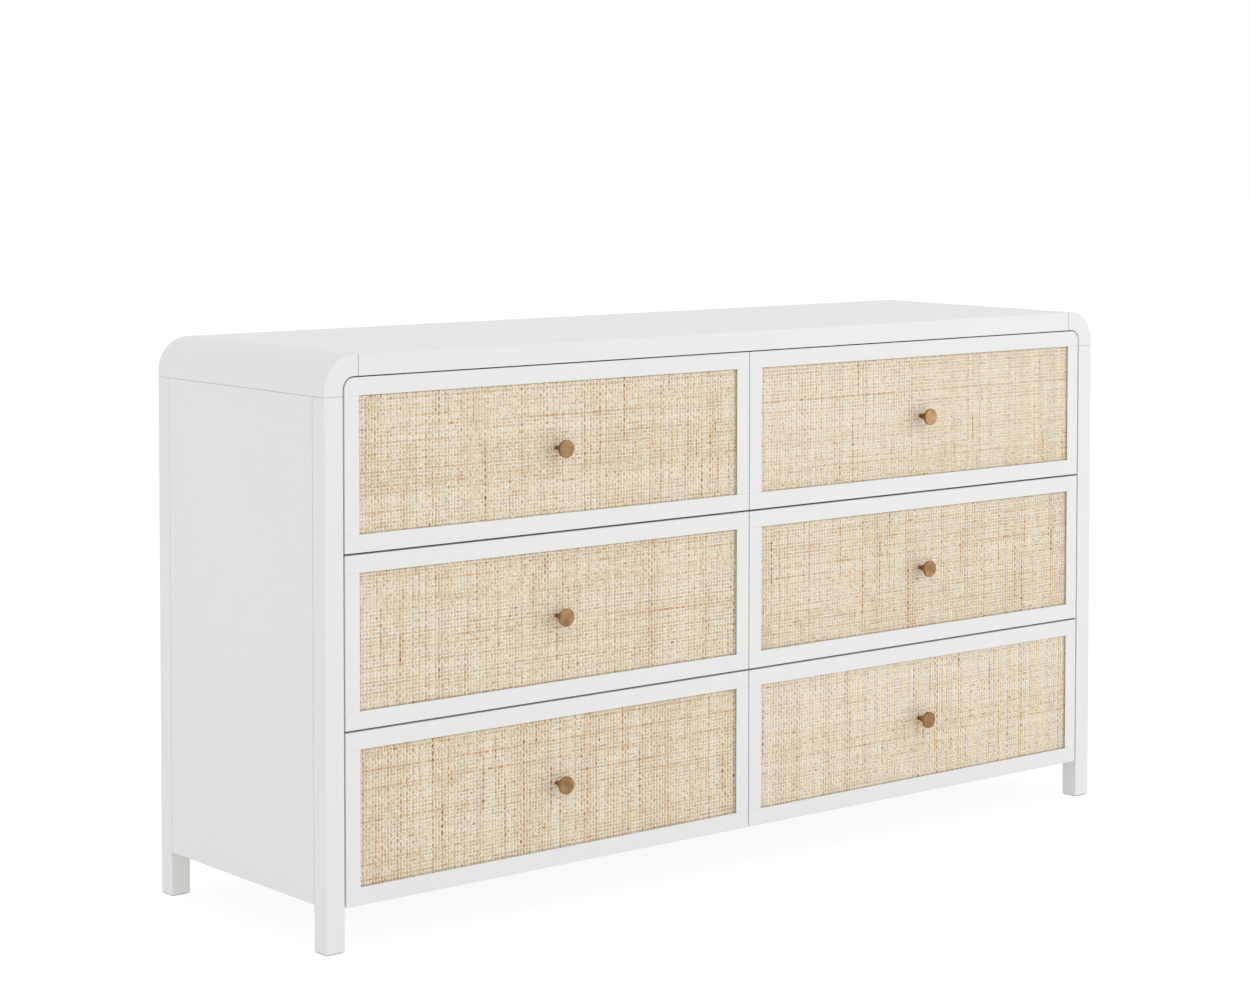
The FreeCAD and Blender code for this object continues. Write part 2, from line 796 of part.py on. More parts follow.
def drill_box_front(body, between):
    """The knob's screw passes through the front of the box."""
    hole = new_sketch(body, "Hole", "XZ_Plane")
    centre = (times(-1, between), less(KNOB_HEIGHT, size.box_lift))
    draw_circles(hole, total(size.knob_screw, size.knob_screw_play), [centre])
    pocket(body, hole, size.box_board)


def drawer(row, name, side):
    """Every piece of one drawer, each in a node of its own."""
    label = f"drawer_{row}_{name}"
    cane_back = total(CANE_DEPTH, size.cane_thickness)
    board_thickness = less(size.front_thickness, cane_back)
    made = [
        drawer_frame(f"{label}_frame", side, rounded=row == "top"),
        drilled_panel(f"{label}_cane_panel", CANE_DEPTH, size.cane_thickness),
        drilled_panel(f"{label}_backing_panel", cane_back, board_thickness),
        knob(f"{label}_knob"),
        drawer_box(f"{label}_box", side),
    ]
    for node in made:
        keep(place(node, times(side, FRONT_CENTRE), FRONT, row_height(row)))
    keep(group(f"{label}_runners", runner_pair("drawer", row, name, side)))
    keep(group(f"mid_{row}_{name}_runners", runner_pair("mid", row, name, side)))


# ---------------------------------------------------------------- the whole dresser

keep(top_panel())
for name, side in COLUMNS.items():
    keep(corner_block(name, side))
    keep(side_panel(name, side))
    keep(leg(f"front_{name}", side, FRONT))
    keep(leg(f"back_{name}", side, less(BACK, size.leg_side)))
keep(foot_glides())
keep(back_panel())
keep(group("back_rails", [back_rail("back_rail_bottom", size.underside),
                          back_rail("back_rail_top", TOP_RAIL_HEIGHT)]))
keep(back_screws())
keep(front_rails())
keep(bottom_panel())
keep(centre_divider())
keep(runner_battens())
cabinet_members = []
for name, side in COLUMNS.items():
    for row in ROWS:
        drawer(row, name, side)
        cabinet_members += runner_pair("cabinet", row, name, side)
keep(group("cabinet_runners", cabinet_members))

doc.recompute()
for thing in doc.Objects:
    if "Invalid" in thing.State or "Error" in thing.State:
        owner = thing.getParentGeoFeatureGroup() or thing
        raise RuntimeError(f"{thing.Label} of {owner.Label} failed: {thing.State}")
for node in nodes:
    if node.Shape.isNull() or not node.Shape.isValid():
        raise RuntimeError(f"{node.Label} has no valid shape")

os.makedirs("parts", exist_ok=True)
for node in nodes:
    node.Shape.exportStep(os.path.join("parts", f"{node.Label}.step"))
print(f"{len(nodes)} nodes written")
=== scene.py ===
# %% [markdown]
# # A six-drawer dresser with cane fronts
#
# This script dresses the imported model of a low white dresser. The carcass, the drawers and the
# brass knobs arrive as finished solids and only need good finishes. The cane panels arrive as
# plain thin boards, so each of them is replaced here by real woven strands.
#
# Every length is in metres. The model stands on z = 0, its width runs along X, and its drawers
# open towards -Y.

# %% Load the frame
import math
import bpy
import numpy as np
from mathutils import Matrix, Vector


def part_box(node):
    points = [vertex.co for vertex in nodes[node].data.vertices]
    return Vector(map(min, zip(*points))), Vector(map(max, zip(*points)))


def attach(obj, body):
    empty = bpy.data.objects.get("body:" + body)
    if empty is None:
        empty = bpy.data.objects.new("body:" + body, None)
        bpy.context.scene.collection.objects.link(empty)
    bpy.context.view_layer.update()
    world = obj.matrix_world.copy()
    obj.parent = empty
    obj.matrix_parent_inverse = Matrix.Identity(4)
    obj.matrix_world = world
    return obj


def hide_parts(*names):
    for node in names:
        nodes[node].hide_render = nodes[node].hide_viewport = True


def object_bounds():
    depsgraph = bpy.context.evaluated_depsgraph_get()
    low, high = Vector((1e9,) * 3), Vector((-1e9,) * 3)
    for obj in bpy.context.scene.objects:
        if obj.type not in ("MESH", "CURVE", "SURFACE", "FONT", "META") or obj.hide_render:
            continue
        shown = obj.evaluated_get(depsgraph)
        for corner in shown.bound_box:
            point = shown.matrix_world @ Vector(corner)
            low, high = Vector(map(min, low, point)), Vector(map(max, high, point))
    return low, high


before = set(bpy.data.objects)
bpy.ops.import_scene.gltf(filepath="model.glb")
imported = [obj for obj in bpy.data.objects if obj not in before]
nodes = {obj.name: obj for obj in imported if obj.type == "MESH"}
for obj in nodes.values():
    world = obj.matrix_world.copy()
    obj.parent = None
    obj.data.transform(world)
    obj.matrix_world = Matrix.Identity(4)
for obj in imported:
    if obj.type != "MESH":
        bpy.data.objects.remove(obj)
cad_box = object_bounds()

scene = bpy.context.scene
width, depth, height = (high - low for low, high in zip(*cad_box))
print(f"{len(nodes)} nodes, {width:.3f} x {depth:.3f} x {height:.3f} m")

# %% [markdown]
# ## Colours as a painter sees them
#
# A colour as it looks is in display values from 0 to 255, but a shader works in linear light.
# This helper turns the one into the other, so that every colour below can be given as it looks.

# %% A helper for colours


def seen(red, green, blue):
    """Linear colour for display values: each is divided by 255 and raised to about 2.4."""
    values = np.array([red, green, blue]) / 255
    linear = np.where(values <= 0.04045, values / 12.92, ((values + 0.055) / 1.055) ** 2.4)
    return (*linear.tolist(), 1.0)


print(f"a white that looks like 232 is {seen(232, 232, 232)[0]:.3f} in linear light")


# %% [markdown]
# ## Writing shaders as sums
#
# Node trees are easier to read as formulas. `Socket` wraps one output of a node, and its
# operators add Math nodes, so `0.4 + 0.1 * grain` is a shader.

# %% Shader helpers: sums


class Socket:
    """One output of a node, with arithmetic on numbers."""

    def __init__(self, tree, output):
        self.tree = tree
        self.output = output

    def _math(self, operation, *values):
        node = self.tree.nodes.new("ShaderNodeMath")
        node.operation = operation
        for slot, value in zip(node.inputs, values):
            if isinstance(value, Socket):
                self.tree.links.new(value.output, slot)
            else:
                slot.default_value = value
        return Socket(self.tree, node.outputs[0])

    def __add__(self, other):
        return self._math("ADD", self, other)

    def __radd__(self, other):
        return self._math("ADD", other, self)

    def __sub__(self, other):
        return self._math("SUBTRACT", self, other)

    def __rsub__(self, other):
        return self._math("SUBTRACT", other, self)

    def __mul__(self, other):
        return self._math("MULTIPLY", self, other)

    def __rmul__(self, other):
        return self._math("MULTIPLY", other, self)

    def clipped(self):
        """The value held between 0 and 1."""
        return self._math("MINIMUM", self._math("MAXIMUM", self, 0.0), 1.0)

    def magnitude(self):
        """The value without its sign."""
        return self._math("ABSOLUTE", self)

    def is_above(self, limit):
        """1 where the value is above the limit, and 0 elsewhere."""
        return self._math("GREATER_THAN", self, limit)


# %% [markdown]
# `Finish` is one material. Its `node` method adds any other node from a type, its settings and
# its inputs, and `drive` feeds a result to the shader that every material here ends in.

# %% Shader helpers: finishes


class Finish:
    """One material, whose shader is built up from sockets."""

    def __init__(self, name, **constants):
        self.material = bpy.data.materials.new(name)
        self.material.use_nodes = True
        self.tree = self.material.node_tree
        self.shader = self.tree.nodes["Principled BSDF"]
        for socket, value in constants.items():
            self.shader.inputs[socket.replace("_", " ")].default_value = value

    def node(self, kind, settings=None, inputs=None, output=0):
        """Add a node: its settings first, then its inputs by name or number; returns one output."""
        node = self.tree.nodes.new("ShaderNode" + kind)
        for name, value in (settings or {}).items():
            if name == "stops":
                self._fill_ramp(node.color_ramp, value)
            else:
                setattr(node, name, value)
        for name, value in (inputs or {}).items():
            self._set(node.inputs[name], value)
        return Socket(self.tree, node.outputs[output])

    def _fill_ramp(self, ramp, stops):
        while len(ramp.elements) < len(stops):
            ramp.elements.new(1.0)
        for element, (position, colour) in zip(ramp.elements, stops):
            element.position = position
            element.color = colour

    def _set(self, slot, value):
        if isinstance(value, Socket):
            self.tree.links.new(value.output, slot)
        else:
            slot.default_value = value

    def drive(self, name, value):
        """Feed one of the shader's own sockets."""
        self._set(self.shader.inputs[name], value)

    def noise(self, scale, detail=2.0, roughness=0.5, stretch=(1, 1, 1), where="Object"):
        """Cloudy values about 0.5, on the object's own coordinates stretched along the axes."""
        return self.node("TexNoise", inputs={
            "Vector": self.place(stretch, where), "Scale": scale, "Detail": detail,
            "Roughness": roughness})

    def place(self, stretch=(1, 1, 1), where="Object"):
        """The object's own coordinates, each multiplied by a number."""
        coordinates = self.node("TexCoord", output=where)
        return self.node("Mapping", inputs={"Vector": coordinates, "Scale": stretch})

    def mix(self, amount, first, second):
        """A colour part of the way from the first to the second."""
        return self.node("Mix", {"data_type": "RGBA"}, {0: amount, 6: first, 7: second}, output=2)

    def bump(self, value, strength, distance):
        """Tilt the surface as if the value were its height, in metres, times the distance."""
        self.drive("Normal", self.node("Bump", inputs={
            "Height": value, "Strength": strength, "Distance": distance}))


def paint(finish, *names):
    """Give a finish to some of the nodes."""
    for name in names:
        materials = nodes[name].data.materials
        materials.clear()
        materials.append(finish.material)
    print(f"{finish.material.name}: {len(names)} nodes")


# %% [markdown]
# ## White lacquer
#
# The carcass and the drawer frames are wood sprayed with a white satin lacquer. Spraying leaves a
# very slight orange peel, too fine to see head on but enough to soften reflections, and the white
# is never perfectly even. Two noises do this: a slow one moves the colour by about one part in a
# hundred, and a fine one raises the surface by a few hundredths of a millimetre.

# %% Lacquers


def lacquer(name, pale, warm, roughness):
    """Satin paint: colour between two near whites, with orange peel in its surface."""
    finish = Finish(name, IOR=1.5)
    cloud = finish.noise(3.0, detail=3.0)
    finish.drive("Base Color", finish.mix(cloud, pale, warm))
    peel = finish.noise(420.0, detail=1.0)
    smudge = finish.noise(9.0, detail=4.0)
    finish.drive("Roughness", (roughness - 0.05) + 0.10 * smudge)
    finish.bump(peel, strength=0.25, distance=0.00006)
    return finish


white_lacquer = lacquer("white_lacquer", pale=seen(232, 232, 232), warm=seen(229, 229, 229),
                        roughness=0.42)
top_lacquer = lacquer("top_lacquer", pale=seen(232, 232, 231), warm=seen(229, 229, 227),
                      roughness=0.34)
back_paint = lacquer("back_paint", pale=seen(232, 231, 227), warm=seen(226, 225, 220),
                     roughness=0.62)
board_paint = lacquer("board_paint", pale=seen(249, 251, 253), warm=seen(246, 248, 251),
                      roughness=0.60)

rows = ("bottom", "middle", "top")
columns = ("left", "right")
drawers = [f"drawer_{row}_{column}" for row in rows for column in columns]
posts = [f"leg_{end}_{column}" for end in ("front", "back") for column in columns]
sides = [f"{kind}_{column}" for kind in ("corner_block", "side_panel") for column in columns]
paint(white_lacquer, *posts, *sides, *(f"{drawer}_frame" for drawer in drawers))
paint(top_lacquer, "top_panel")
paint(back_paint, "back_panel")
paint(board_paint, *(f"{drawer}_backing_panel" for drawer in drawers))

# %% [markdown]
# ## Bare and sealed wood inside
#
# The boxes of the drawers are pale birch with a clear finish, and the hidden frame of the carcass
# is board sealed with a thin white wash that lets the grain through. Grain is a noise drawn out a
# long way along the board. Most boards run along the width, but the sides of a drawer box run
# from front to back, so the finish asks how far a point is from the middle of its drawer and
# turns the grain there.

# %% Woods

BOX_BOARD = 0.0125         # thickness of a drawer's side boards, and a little more


def grain(finish, along_x):
    """Fine lines on broad bands, both drawn out along X or along Y."""
    band, line = 0.12, 0.03      # how little a band and a line change along the board
    long_band, long_line = ((band, 1, 1), (line, 1, 1)) if along_x else ((1, band, 1), (1, line, 1))
    bands = finish.noise(14.0, detail=3.0, stretch=long_band)
    lines = finish.noise(260.0, detail=3.0, roughness=0.65, stretch=long_line)
    return 0.55 * bands + 0.45 * lines


def wood(name, pale, dark, grain_depth, roughness, box=None):
    """Wood with its grain along X, or along Y in the side boards of a drawer box.

    A point is in a side board where the distance between its |x| and the middle of the box is
    more than half of the box's inside width. |x| makes this true in both columns of drawers.
    """
    finish = Finish(name, IOR=1.48)
    value = grain(finish, along_x=True)
    if box is not None:
        low, high = box
        x = finish.node("SeparateXYZ", inputs={"Vector": finish.place()}, output=0)
        from_middle = (x.magnitude() - abs(low[0] + high[0]) / 2).magnitude()
        in_side = from_middle.is_above((high[0] - low[0]) / 2 - BOX_BOARD)
        value = value + in_side * (grain(finish, along_x=False) - value)
    colours = finish.node("ValToRGB", {"stops": [(0.30, dark), (0.62, pale)]}, {"Fac": value})
    finish.drive("Base Color", colours)
    finish.drive("Roughness", roughness + 0.12 * value)
    finish.bump(value, strength=0.4, distance=grain_depth)
    return finish


birch = wood("birch", pale=seen(222, 197, 160), dark=seen(198, 167, 124), grain_depth=0.00016,
             roughness=0.42, box=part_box(f"{drawers[0]}_box"))
washed_board = wood("washed_board", pale=seen(229, 225, 216), dark=seen(214, 208, 196),
                    grain_depth=0.00010, roughness=0.55)
paint(birch, *(f"{drawer}_box" for drawer in drawers))
paint(washed_board, "back_rails", "front_rails", "bottom_panel", "centre_divider",
      "runner_battens")

# %% [markdown]
# ## Brass knobs
#
# The knobs are brass, turned, brushed and left to dull a little. The brushing shows as fine
# streaks, and the dulling as browner patches. The colour also turns browner with how far a point
# lies behind the face, which is one subtraction on its own coordinates; this browning is partly
# tarnish and partly painted shade under the head.

# %% Brass

# The brown towards the stem is partly tarnish and partly painted shade under the knob's head.
TARNISH_AND_SHADE_DEPTH = 0.0125     # behind the face, where the brass is at its brownest


def aged_brass(face_y):
    """Brass between bright and brown, with fine streaks from brushing.

    Handling keeps the face of a knob clean. The darkening grows with the distance behind the face,
    and the stem is darkest; this darkening is partly tarnish and partly painted shade under the
    head.
    """
    finish = Finish("aged_brass", Metallic=1.0)
    age = finish.noise(70.0, detail=4.0, roughness=0.6)
    streaks = finish.noise(900.0, detail=2.0, stretch=(1, 0.2, 0.12))
    tone = (age * 0.75 + streaks * 0.25).clipped()
    clean = finish.node("ValToRGB", {"stops": [
        (0.25, seen(118, 88, 57)), (0.5, seen(160, 126, 89)), (0.78, seen(194, 160, 120))]},
        {"Fac": tone})
    tarnished_and_shaded = finish.node("ValToRGB", {"stops": [
        (0.3, seen(112, 72, 36)), (0.7, seen(180, 128, 74))]}, {"Fac": tone})
    # Browner behind the face: partly tarnish, partly painted shade under the knob's head.
    behind = finish.node("SeparateXYZ", inputs={"Vector": finish.place()}, output=1) - face_y
    tarnish_and_painted_shade = (behind * (1 / TARNISH_AND_SHADE_DEPTH)).clipped()
    finish.drive("Base Color", finish.mix(tarnish_and_painted_shade, clean, tarnished_and_shaded))
    finish.drive("Roughness", 0.20 + 0.18 * age)
    finish.bump(streaks, strength=0.3, distance=0.00004)
    return finish


knobs = [f"{drawer}_knob" for drawer in drawers]
front_of_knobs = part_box(knobs[0])[0][1]
paint(aged_brass(front_of_knobs), *knobs)
print(f"the knobs' faces are {1000 * front_of_knobs:.1f} mm from the middle")

# %% [markdown]
# ## Runners, screws and the pads under the legs
#
# The runners and screws are steel plated with zinc, whose crystals are a mottled grey: a Voronoi
# pattern gives the crystals and a noise the mottle. The glides are moulded nylon with a fine
# sparked texture, which one very fine noise is enough for.

# %% Zinc and nylon


def zinc_plate():
    """Grey metal mottled by its crystals."""
    finish = Finish("zinc_plate", Metallic=1.0)
    crystals = finish.node("TexVoronoi", inputs={"Vector": finish.place(), "Scale": 260.0})
    mottle = finish.noise(45.0, detail=3.0)
    finish.drive("Base Color", finish.mix(mottle, seen(172, 174, 177), seen(198, 199, 200)))
    finish.drive("Roughness", 0.30 + 0.15 * mottle + 0.08 * crystals)
    return finish


def nylon():
    """Dark moulded plastic with a fine even texture."""
    finish = Finish("nylon", IOR=1.53)
    grit = finish.noise(1500.0, detail=1.0)
    finish.drive("Base Color", finish.mix(grit, seen(58, 58, 60), seen(74, 74, 75)))
    finish.drive("Roughness", 0.55 + 0.1 * grit)
    finish.bump(grit, strength=0.3, distance=0.00005)
    return finish


runners = [f"{drawer}_runners" for drawer in drawers]
runners += [f"mid_{row}_{column}_runners" for row in rows for column in columns]
paint(zinc_plate(), "cabinet_runners", "back_screws", *runners)
paint(nylon(), "foot_glides")

# %% [markdown]
# ## Woven cane
#
# Cane webbing is flat strands of rattan core, woven one over, one under. Each upright strand lies
# over every second cross strand, and its neighbour lies over the others, so small square holes
# are left in a grid and the white board shows through them. No two strands have quite the same
# width, place or colour, and that unevenness is what the eye reads as cane.
#
# A picture of a weave on a flat board would be quick, but light wouldn't catch its edges and it
# would look painted from the side. So every strand here is a real ribbon. All the upright strands
# of a panel are one mesh, and all its cross strands another, each worked out in one go as an
# array with three directions: strand, place along it, and corner of its section.

# %% Cane: where the strands lie

PITCH_ACROSS = 0.00540     # from one upright strand to the next
PITCH_UP = 0.00503         # from one cross strand to the next
UPRIGHT_WIDTH = 0.00245
CROSS_WIDTH = 0.00282
DRIFT, JITTER = 0.035, 0.03      # slow and quick unevenness of the spacing, as parts of it
print(f"the holes are about {1000 * (PITCH_ACROSS - UPRIGHT_WIDTH):.1f} mm wide "
      f"and {1000 * (PITCH_UP - CROSS_WIDTH):.1f} mm high")


def slow_noise(rng, count, reach):
    """Random values that change over about `reach` places, with a mean of 0 and a spread of 1.

    Random values are averaged with the weights of a bell curve as wide as the reach.
    """
    span = int(3 * reach) + 1
    weights = np.exp(-0.5 * (np.arange(-span, span + 1) / max(reach, 0.5)) ** 2)
    raw = rng.standard_normal(count + 2 * span)
    return np.convolve(raw, weights / np.sqrt((weights ** 2).sum()), mode="valid")


def strand_centres(rng, low, high, pitch):
    """Middles of the strands between two edges, at uneven steps that add up to the whole.

    Each step is the pitch with a slow change and a small jitter, and all are then scaled alike.
    """
    count = int(round((high - low) / pitch))
    steps = 1 + DRIFT * slow_noise(rng, count, 9) + JITTER * rng.standard_normal(count)
    edges = np.concatenate([[0], np.cumsum(steps)])
    edges = low + (high - low) * edges / edges[-1]
    return (edges[:-1] + edges[1:]) / 2


# %% [markdown]
# A strand is bent by the strands that it crosses. At a crossing it runs flat for a little, in
# front or behind, and between two crossings it passes through the middle of the weave. So it
# needs three points for each crossing. Each point then becomes four corners of a flat section.

# %% Cane: the shape of the strands

STRAND_THICKNESS = 0.00018
SWING = 0.00020            # how far a strand bends towards the front and towards the back
FLAT = 0.30                # half of the flat run at a crossing, as a part of the pitch
WANDER = 0.00022           # how far a strand strays sideways
WIDTH_SPREAD, WIDTH_LIMITS = 0.09, (0.72, 1.22)    # of the usual width
print(f"the weave is {1000 * (2 * SWING + STRAND_THICKNESS):.2f} mm thick")


def ribbons(rng, centres, crossings, low, high, side, usual_width):
    """Corners of flat strands as an array: strand, point along, corner, (across, along, out).

    Along is the crossings' places less and plus the flat part of the pitch, and the middles
    between them. Out is +swing or -swing at a crossing, by turns, starting with side, and 0 in the
    middles, less or plus half of the thickness. Across is the strand's centre with a slow sideways
    wander, less or plus half of its own width, which differs a little from the usual width.
    """
    count, many = len(centres), len(crossings)
    pitch = (high - low) / many
    middles = (crossings[:-1] + crossings[1:]) / 2
    along = np.empty(3 * many + 1)
    along[0::3] = np.concatenate([[low], middles, [high]])
    along[1::3] = crossings - FLAT * pitch
    along[2::3] = crossings + FLAT * pitch
    turn = side * (-1.0) ** (np.arange(count)[:, None] + np.arange(many)[None, :])
    out = np.zeros((count, 3 * many + 1))
    out[:, 1::3] = SWING * turn
    out[:, 2::3] = SWING * turn
    waves = rng.uniform(0.06, 0.22, (count, 1))
    phases = rng.uniform(0, 2 * math.pi, (count, 1))
    wander = WANDER * np.sin(2 * math.pi * along[None, :] / waves + phases)
    widths = usual_width * (1 + WIDTH_SPREAD * rng.standard_normal(count)).clip(*WIDTH_LIMITS)
    corners = np.array([[-0.5, -0.5], [0.5, -0.5], [0.5, 0.5], [-0.5, 0.5]])
    points = np.empty((count, len(along), 4, 3))
    points[..., 0] = (centres[:, None] + wander)[..., None]
    points[..., 0] += widths[:, None, None] * corners[:, 0]
    points[..., 1] = along[None, :, None]
    points[..., 2] = out[..., None] + STRAND_THICKNESS * corners[:, 1]
    return points


def ribbon_faces(count, many):
    """Four faces round every step of every strand and a cap at each end, all facing outwards.

    A side face runs from a corner along the strand, across to the next corner, and back.
    """
    corner = np.arange(count * many * 4).reshape(count, many, 4)
    here, there = corner[:, :-1], corner[:, 1:]
    next_here, next_there = np.roll(here, -1, axis=2), np.roll(there, -1, axis=2)
    sides = np.stack([here, there, next_there, next_here], axis=-1)
    first, last = corner[:, 0, :], corner[:, -1, ::-1]
    return np.concatenate([sides.reshape(-1, 4), first, last])


# %% [markdown]
# The colour of cane changes from strand to strand and along each strand. Most strands are straw,
# some are almost white, and a few go tan or brown for part of their length, where the rattan had
# its skin or a stain. Here and there is the dark mark of a leaf node. All this is one number per
# point, the tone, from 0 for the palest to 1 for the darkest, which the material turns into
# colours.

# %% Cane: the tone of the strands

MEAN_TONE = 0.44
STRAND_SPREAD = 0.045      # from one strand to the next
SHARED_SPREAD = 0.022      # from one group of neighbours to the next
SLOW_CHANGE = 0.03         # along a strand
STAINED_SHARE = 0.26       # of the strands
STAIN_LEAST, STAIN_SPREAD, STAIN_MOST = 0.04, 0.07, 0.17
STAIN_FADE = 0.35          # part of a stain's half length over which it fades
NODES_PER_METRE = 0.35     # of strand
NODE_LENGTH, NODE_TONE = 0.0022, 0.33
FLECK = 0.08               # from point to point
SPECK_SHARE = 0.008        # of the points
SPECK_TONES = (0.1, 0.36)


def strand_tones(rng, count, along, warmth, staining):
    """Tone of each point of each strand.

    It is the sum of a value for the strand, part of it shared with its neighbours, a slow change
    along the strand, dark stretches that fade in and out on a few strands, a few short dark nodes,
    and many small dark specks. The staining scales how much the strands differ and how stained they
    are.
    """
    own = STRAND_SPREAD * staining * rng.standard_normal(count)
    strand = MEAN_TONE + warmth + SHARED_SPREAD * slow_noise(rng, count, 2.5) + own
    length = along[-1] - along[0]
    waves = rng.uniform(0.05, 0.30, (count, 1))
    phases = rng.uniform(0, 2 * math.pi, (count, 1))
    change = SLOW_CHANGE * np.sin(2 * math.pi * along[None, :] / waves + phases)
    middle = rng.uniform(along[0], along[-1], (count, 1))
    half = rng.uniform(0.02, 0.22, (count, 1)) * max(length, 0.3)
    stain = STAIN_LEAST + STAIN_SPREAD * rng.exponential(size=(count, 1))
    stain = stain.clip(0, STAIN_MOST)
    stain *= staining * (rng.random((count, 1)) < STAINED_SHARE)
    inside = np.clip((half - np.abs(along[None, :] - middle)) / (STAIN_FADE * half), 0, 1)
    node_at = rng.uniform(along[0], along[-1], (count, 1))
    has_node = rng.random((count, 1)) < NODES_PER_METRE * length
    node = np.where(has_node, np.exp(-((along[None, :] - node_at) / NODE_LENGTH) ** 2), 0.0)
    fleck = FLECK * rng.standard_normal((count, len(along)))
    is_speck = rng.random((count, len(along))) < SPECK_SHARE * staining
    fleck += np.where(is_speck, rng.uniform(*SPECK_TONES, (count, len(along))), 0.0)
    return (strand[:, None] + change + stain * inside + NODE_TONE * node + fleck).clip(0, 1)


# %% [markdown]
# The finish reads the tone, adds fibres that run along the strand, and looks up the colour. The
# fibres follow the strand through its UV map, whose U is the distance along it and V the distance
# across.

# %% Cane: the finish


def cane_finish():
    """Straw to brown by tone, with fibres along the strand and a slight sheen."""
    finish = Finish("cane", IOR=1.45)
    tone = finish.node("Attribute", {"attribute_name": "tone"}, output="Fac")
    fibres = finish.noise(1.0, detail=2.0, roughness=0.6, stretch=(90, 2600, 1), where="UV")
    value = (tone + 0.16 * (fibres - 0.5)).clipped()
    colours = finish.node("ValToRGB", {"stops": [
        (0.10, seen(243, 239, 227)), (0.34, seen(243, 228, 199)), (0.52, seen(219, 194, 154)),
        (0.72, seen(203, 151, 99)), (0.95, seen(116, 72, 42))]}, {"Fac": value})
    finish.drive("Base Color", colours)
    finish.drive("Roughness", 0.44 + 0.16 * fibres)
    finish.bump(fibres, strength=0.35, distance=0.00006)
    return finish


cane = cane_finish()

# %% [markdown]
# Now the arrays become meshes. The upright strands use (across, along, out) as (x, z, -y), and
# the cross strands as (z, x, -y), which turns their faces inside out, so theirs are listed
# backwards.

# %% Cane: from arrays to a mesh

STRAND_STEP = 0.005        # shift of the fibres from one strand to the next


def strand_object(name, points, tones, upright, middle_y):
    """A mesh from ribbons: its corners, its faces, its tones and a UV map along the strands."""
    count, many = points.shape[:2]
    across, along, out = np.moveaxis(points, -1, 0)
    x, z = (across, along) if upright else (along, across)
    faces = ribbon_faces(count, many)
    if not upright:
        faces = faces[:, ::-1]
    vertices = np.stack([x, middle_y - out, z], axis=-1).reshape(-1, 3)
    mesh = bpy.data.meshes.new(name)
    mesh.vertices.add(len(vertices))
    mesh.vertices.foreach_set("co", vertices.ravel())
    mesh.loops.add(faces.size)
    mesh.loops.foreach_set("vertex_index", faces.ravel())
    mesh.polygons.add(len(faces))
    mesh.polygons.foreach_set("loop_start", np.arange(0, faces.size, 4))
    mesh.update(calc_edges=True)
    mesh.polygons.foreach_set("use_smooth", np.ones(len(faces), dtype=bool))
    tone = mesh.attributes.new("tone", "FLOAT", "POINT")
    tone.data.foreach_set("value", np.repeat(tones.reshape(-1), 4))
    strand = np.broadcast_to(np.arange(count)[:, None, None], across.shape)
    flat = np.stack([along, strand * STRAND_STEP + across], axis=-1).reshape(-1, 2)
    layer = mesh.uv_layers.new(name="along_strand")
    layer.data.foreach_set("uv", flat[faces.ravel()].ravel())
    mesh.materials.append(cane.material)
    mesh.validate()
    piece = bpy.data.objects.new(name, mesh)
    scene.collection.objects.link(piece)
    return piece


# %% [markdown]
# Each panel fills the place of its plain board, a hair in front of the white board behind it. The
# upright strands are more stained than the cross strands, and no panel is quite as warm as the
# next.

# %% Cane: making the panels

BEHIND = 0.00006           # air between the strands and the board behind them
FIRST_SEED = 11
STAINING = {"upright": 1.45, "cross": 0.7}
PANEL_WARMTH = {
    "drawer_top_left": 0.0, "drawer_top_right": -0.05,
    "drawer_middle_left": 0.005, "drawer_middle_right": -0.01,
    "drawer_bottom_left": 0.035, "drawer_bottom_right": -0.035,
}


def weave_panel(drawer, seed, warmth):
    """Both sets of strands of one drawer's panel, in the place of its plain board."""
    rng = np.random.default_rng(seed)
    low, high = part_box(f"{drawer}_cane_panel")
    across = strand_centres(rng, low[0], high[0], PITCH_ACROSS)
    up = strand_centres(rng, low[2], high[2], PITCH_UP)
    middle_y = high[1] - BEHIND - SWING - STRAND_THICKNESS / 2
    uprights = ribbons(rng, across, up, low[2], high[2], 1, UPRIGHT_WIDTH)
    crosses = ribbons(rng, up, across, low[0], high[0], -1, CROSS_WIDTH)
    for kind, points in (("upright", uprights), ("cross", crosses)):
        tones = strand_tones(rng, len(points), points[0, :, 0, 1], warmth, STAINING[kind])
        name = f"{drawer}_cane_{kind}_strands"
        piece = strand_object(name, points, tones, kind == "upright", middle_y)
        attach(piece, drawer)
        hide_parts(f"{drawer}_cane_panel")
    print(f"{drawer}: {len(across)} upright and {len(up)} cross strands")


for seed, drawer in enumerate(drawers, start=FIRST_SEED):
    weave_panel(drawer, seed, PANEL_WARMTH[drawer])

# %% [markdown]
# ## Studio
#
# The dresser stands on a white floor in front of white, in even light from all around. A real
# studio would light the floor and the backdrop until they are pure white. Here the floor glows
# instead, much more towards the camera than towards the dresser, because so much real light would
# also brighten the underside.

# %% Floor

# Below full openness the glow fades, and that fading paints the contact shadow under the feet.
NO_GLOW, FULL_GLOW = 0.2, 0.4    # how open a point is, of 1, where the glow starts and is full


def grey(value):
    """A grey given in linear light."""
    return (value, value, value, 1.0)


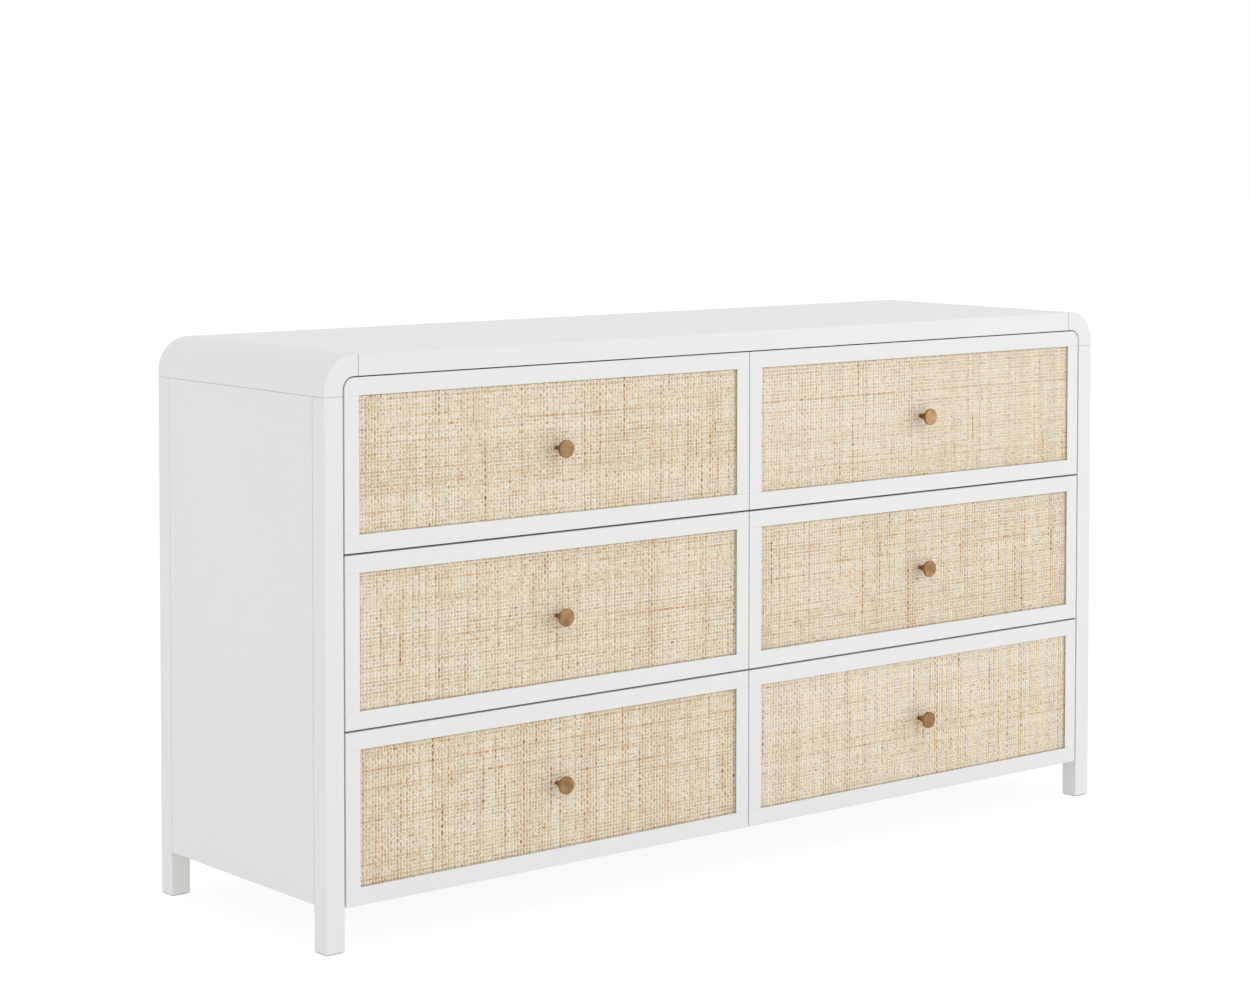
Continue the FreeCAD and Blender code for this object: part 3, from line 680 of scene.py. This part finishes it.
def plain_floor():
    """A large flat sheet under the dresser, matt white with the faintest unevenness.

    The camera sees it mostly by its own glow, so it stays white in the picture. Everything else
    sees a paper that is mostly lit, so the underside of the dresser stays in shade. The glow fades
    where the floor is shut in, under the feet, which paints the thin line of shadow that joins
    them to the floor.
    """
    reach = 30.0
    mesh = bpy.data.meshes.new("floor")
    corners = [(-reach, -reach, 0), (reach, -reach, 0), (reach, reach, 0), (-reach, reach, 0)]
    mesh.from_pydata(corners, [], [(0, 1, 2, 3)])
    piece = bpy.data.objects.new("floor", mesh)
    scene.collection.objects.link(piece)
    finish = Finish("floor_paper", Roughness=0.9, Specular_IOR_Level=0.0, Emission_Strength=1.0)
    cloud = finish.noise(0.8, detail=2.0)
    pale = finish.mix(cloud, seen(208, 208, 208), seen(204, 204, 204))
    straight = finish.node("LightPath")
    finish.drive("Base Color", finish.mix(straight, pale, grey(0.20)))
    # Where the floor is shut in under the feet, the glow the camera sees fades into a painted
    # contact shadow.
    openness = finish.node("AmbientOcclusion", {"samples": 8}, {"Distance": 0.004}, output="AO")
    glow = ((openness - NO_GLOW) * (1 / (FULL_GLOW - NO_GLOW))).clipped()
    shown = finish.mix(glow, grey(0.10), grey(0.85))
    finish.drive("Emission Color", finish.mix(straight, grey(0.36), shown))
    mesh.materials.append(finish.material)
    print(f"floor: {2 * reach:.0f} m square")


plain_floor()

# %% [markdown]
# A softbox in front of the dresser, a little to the right of its middle, makes the front a little
# brighter than the left side, and its height gives the knobs their small soft shadows. A second
# softbox far to the right is there for the brass, which mirrors it.

# %% Light


def area_light(name, place, aim, size, power):
    """A square lamp at a place, turned towards a point."""
    lamp = bpy.data.lights.new(name, "AREA")
    lamp.shape = "SQUARE"
    lamp.size = size
    lamp.energy = power
    light = bpy.data.objects.new(name, lamp)
    direction = Vector(aim) - Vector(place)
    turn = direction.to_track_quat("-Z", "Y").to_matrix().to_4x4()
    light.matrix_world = Matrix.Translation(place) @ turn
    scene.collection.objects.link(light)
    print(f"{name}: {power:.0f} W, {direction.length:.1f} m away")


def white_surroundings(light, backdrop):
    """Even light of one strength from all around, and a backdrop that looks brighter than it."""
    world = bpy.data.worlds.new("studio")
    world.use_nodes = True
    tree = world.node_tree
    background = tree.nodes["Background"]
    background.inputs["Strength"].default_value = 1.0
    straight = Socket(tree, tree.nodes.new("ShaderNodeLightPath").outputs["Is Camera Ray"])
    level = light + (backdrop - light) * straight
    tree.links.new(level.output, background.inputs["Color"])
    scene.world = world


middle = (0.0, 0.0, height / 2)
white_surroundings(light=0.92, backdrop=1.0)
area_light("key", place=(1.0, -3.7, 1.9), aim=middle, size=1.6, power=13.0)
area_light("right_softbox", place=(5.0, -4.6, 0.6), aim=middle, size=1.6, power=16.0)
scene.view_settings.view_transform = "Standard"

# %% [markdown]
# ## Camera
#
# The camera stands in front, to the left and a little above the top, and looks almost level, so
# the uprights stay upright. The picture is moved sideways and down on the sensor instead, as an
# architect's camera does.

# %% Camera


def studio_camera(place, turned, tilted, rolled, lens, shift):
    """A camera at a place, turned clockwise from +Y, tilted down and rolled to the right."""
    turned, tilted, rolled = (math.radians(angle) for angle in (turned, tilted, rolled))
    ahead = Vector((math.sin(turned) * math.cos(tilted), math.cos(turned) * math.cos(tilted),
                    -math.sin(tilted)))
    level = Vector((math.cos(turned), -math.sin(turned), 0))
    above = level.cross(ahead)
    right = math.cos(rolled) * level + math.sin(rolled) * above
    up = math.cos(rolled) * above - math.sin(rolled) * level
    lens_data = bpy.data.cameras.new("camera")
    lens_data.sensor_width = 36.0       # millimetres, as the lens is
    lens_data.lens = lens
    lens_data.shift_x, lens_data.shift_y = shift
    lens_data.clip_end = 200.0          # metres, past the far edge of the floor
    camera = bpy.data.objects.new("camera", lens_data)
    axes = Matrix((right, up, -ahead)).transposed().to_4x4()
    camera.matrix_world = Matrix.Translation(place) @ axes
    scene.collection.objects.link(camera)
    scene.camera = camera
    print(f"camera: {math.dist(place, middle):.2f} m from the dresser's middle, {lens} mm lens")


studio_camera(place=(-2.9452, -3.5854, 1.1349), turned=40.571, tilted=2.755, rolled=0.129,
              lens=85.34, shift=(-0.0779, -0.1876))
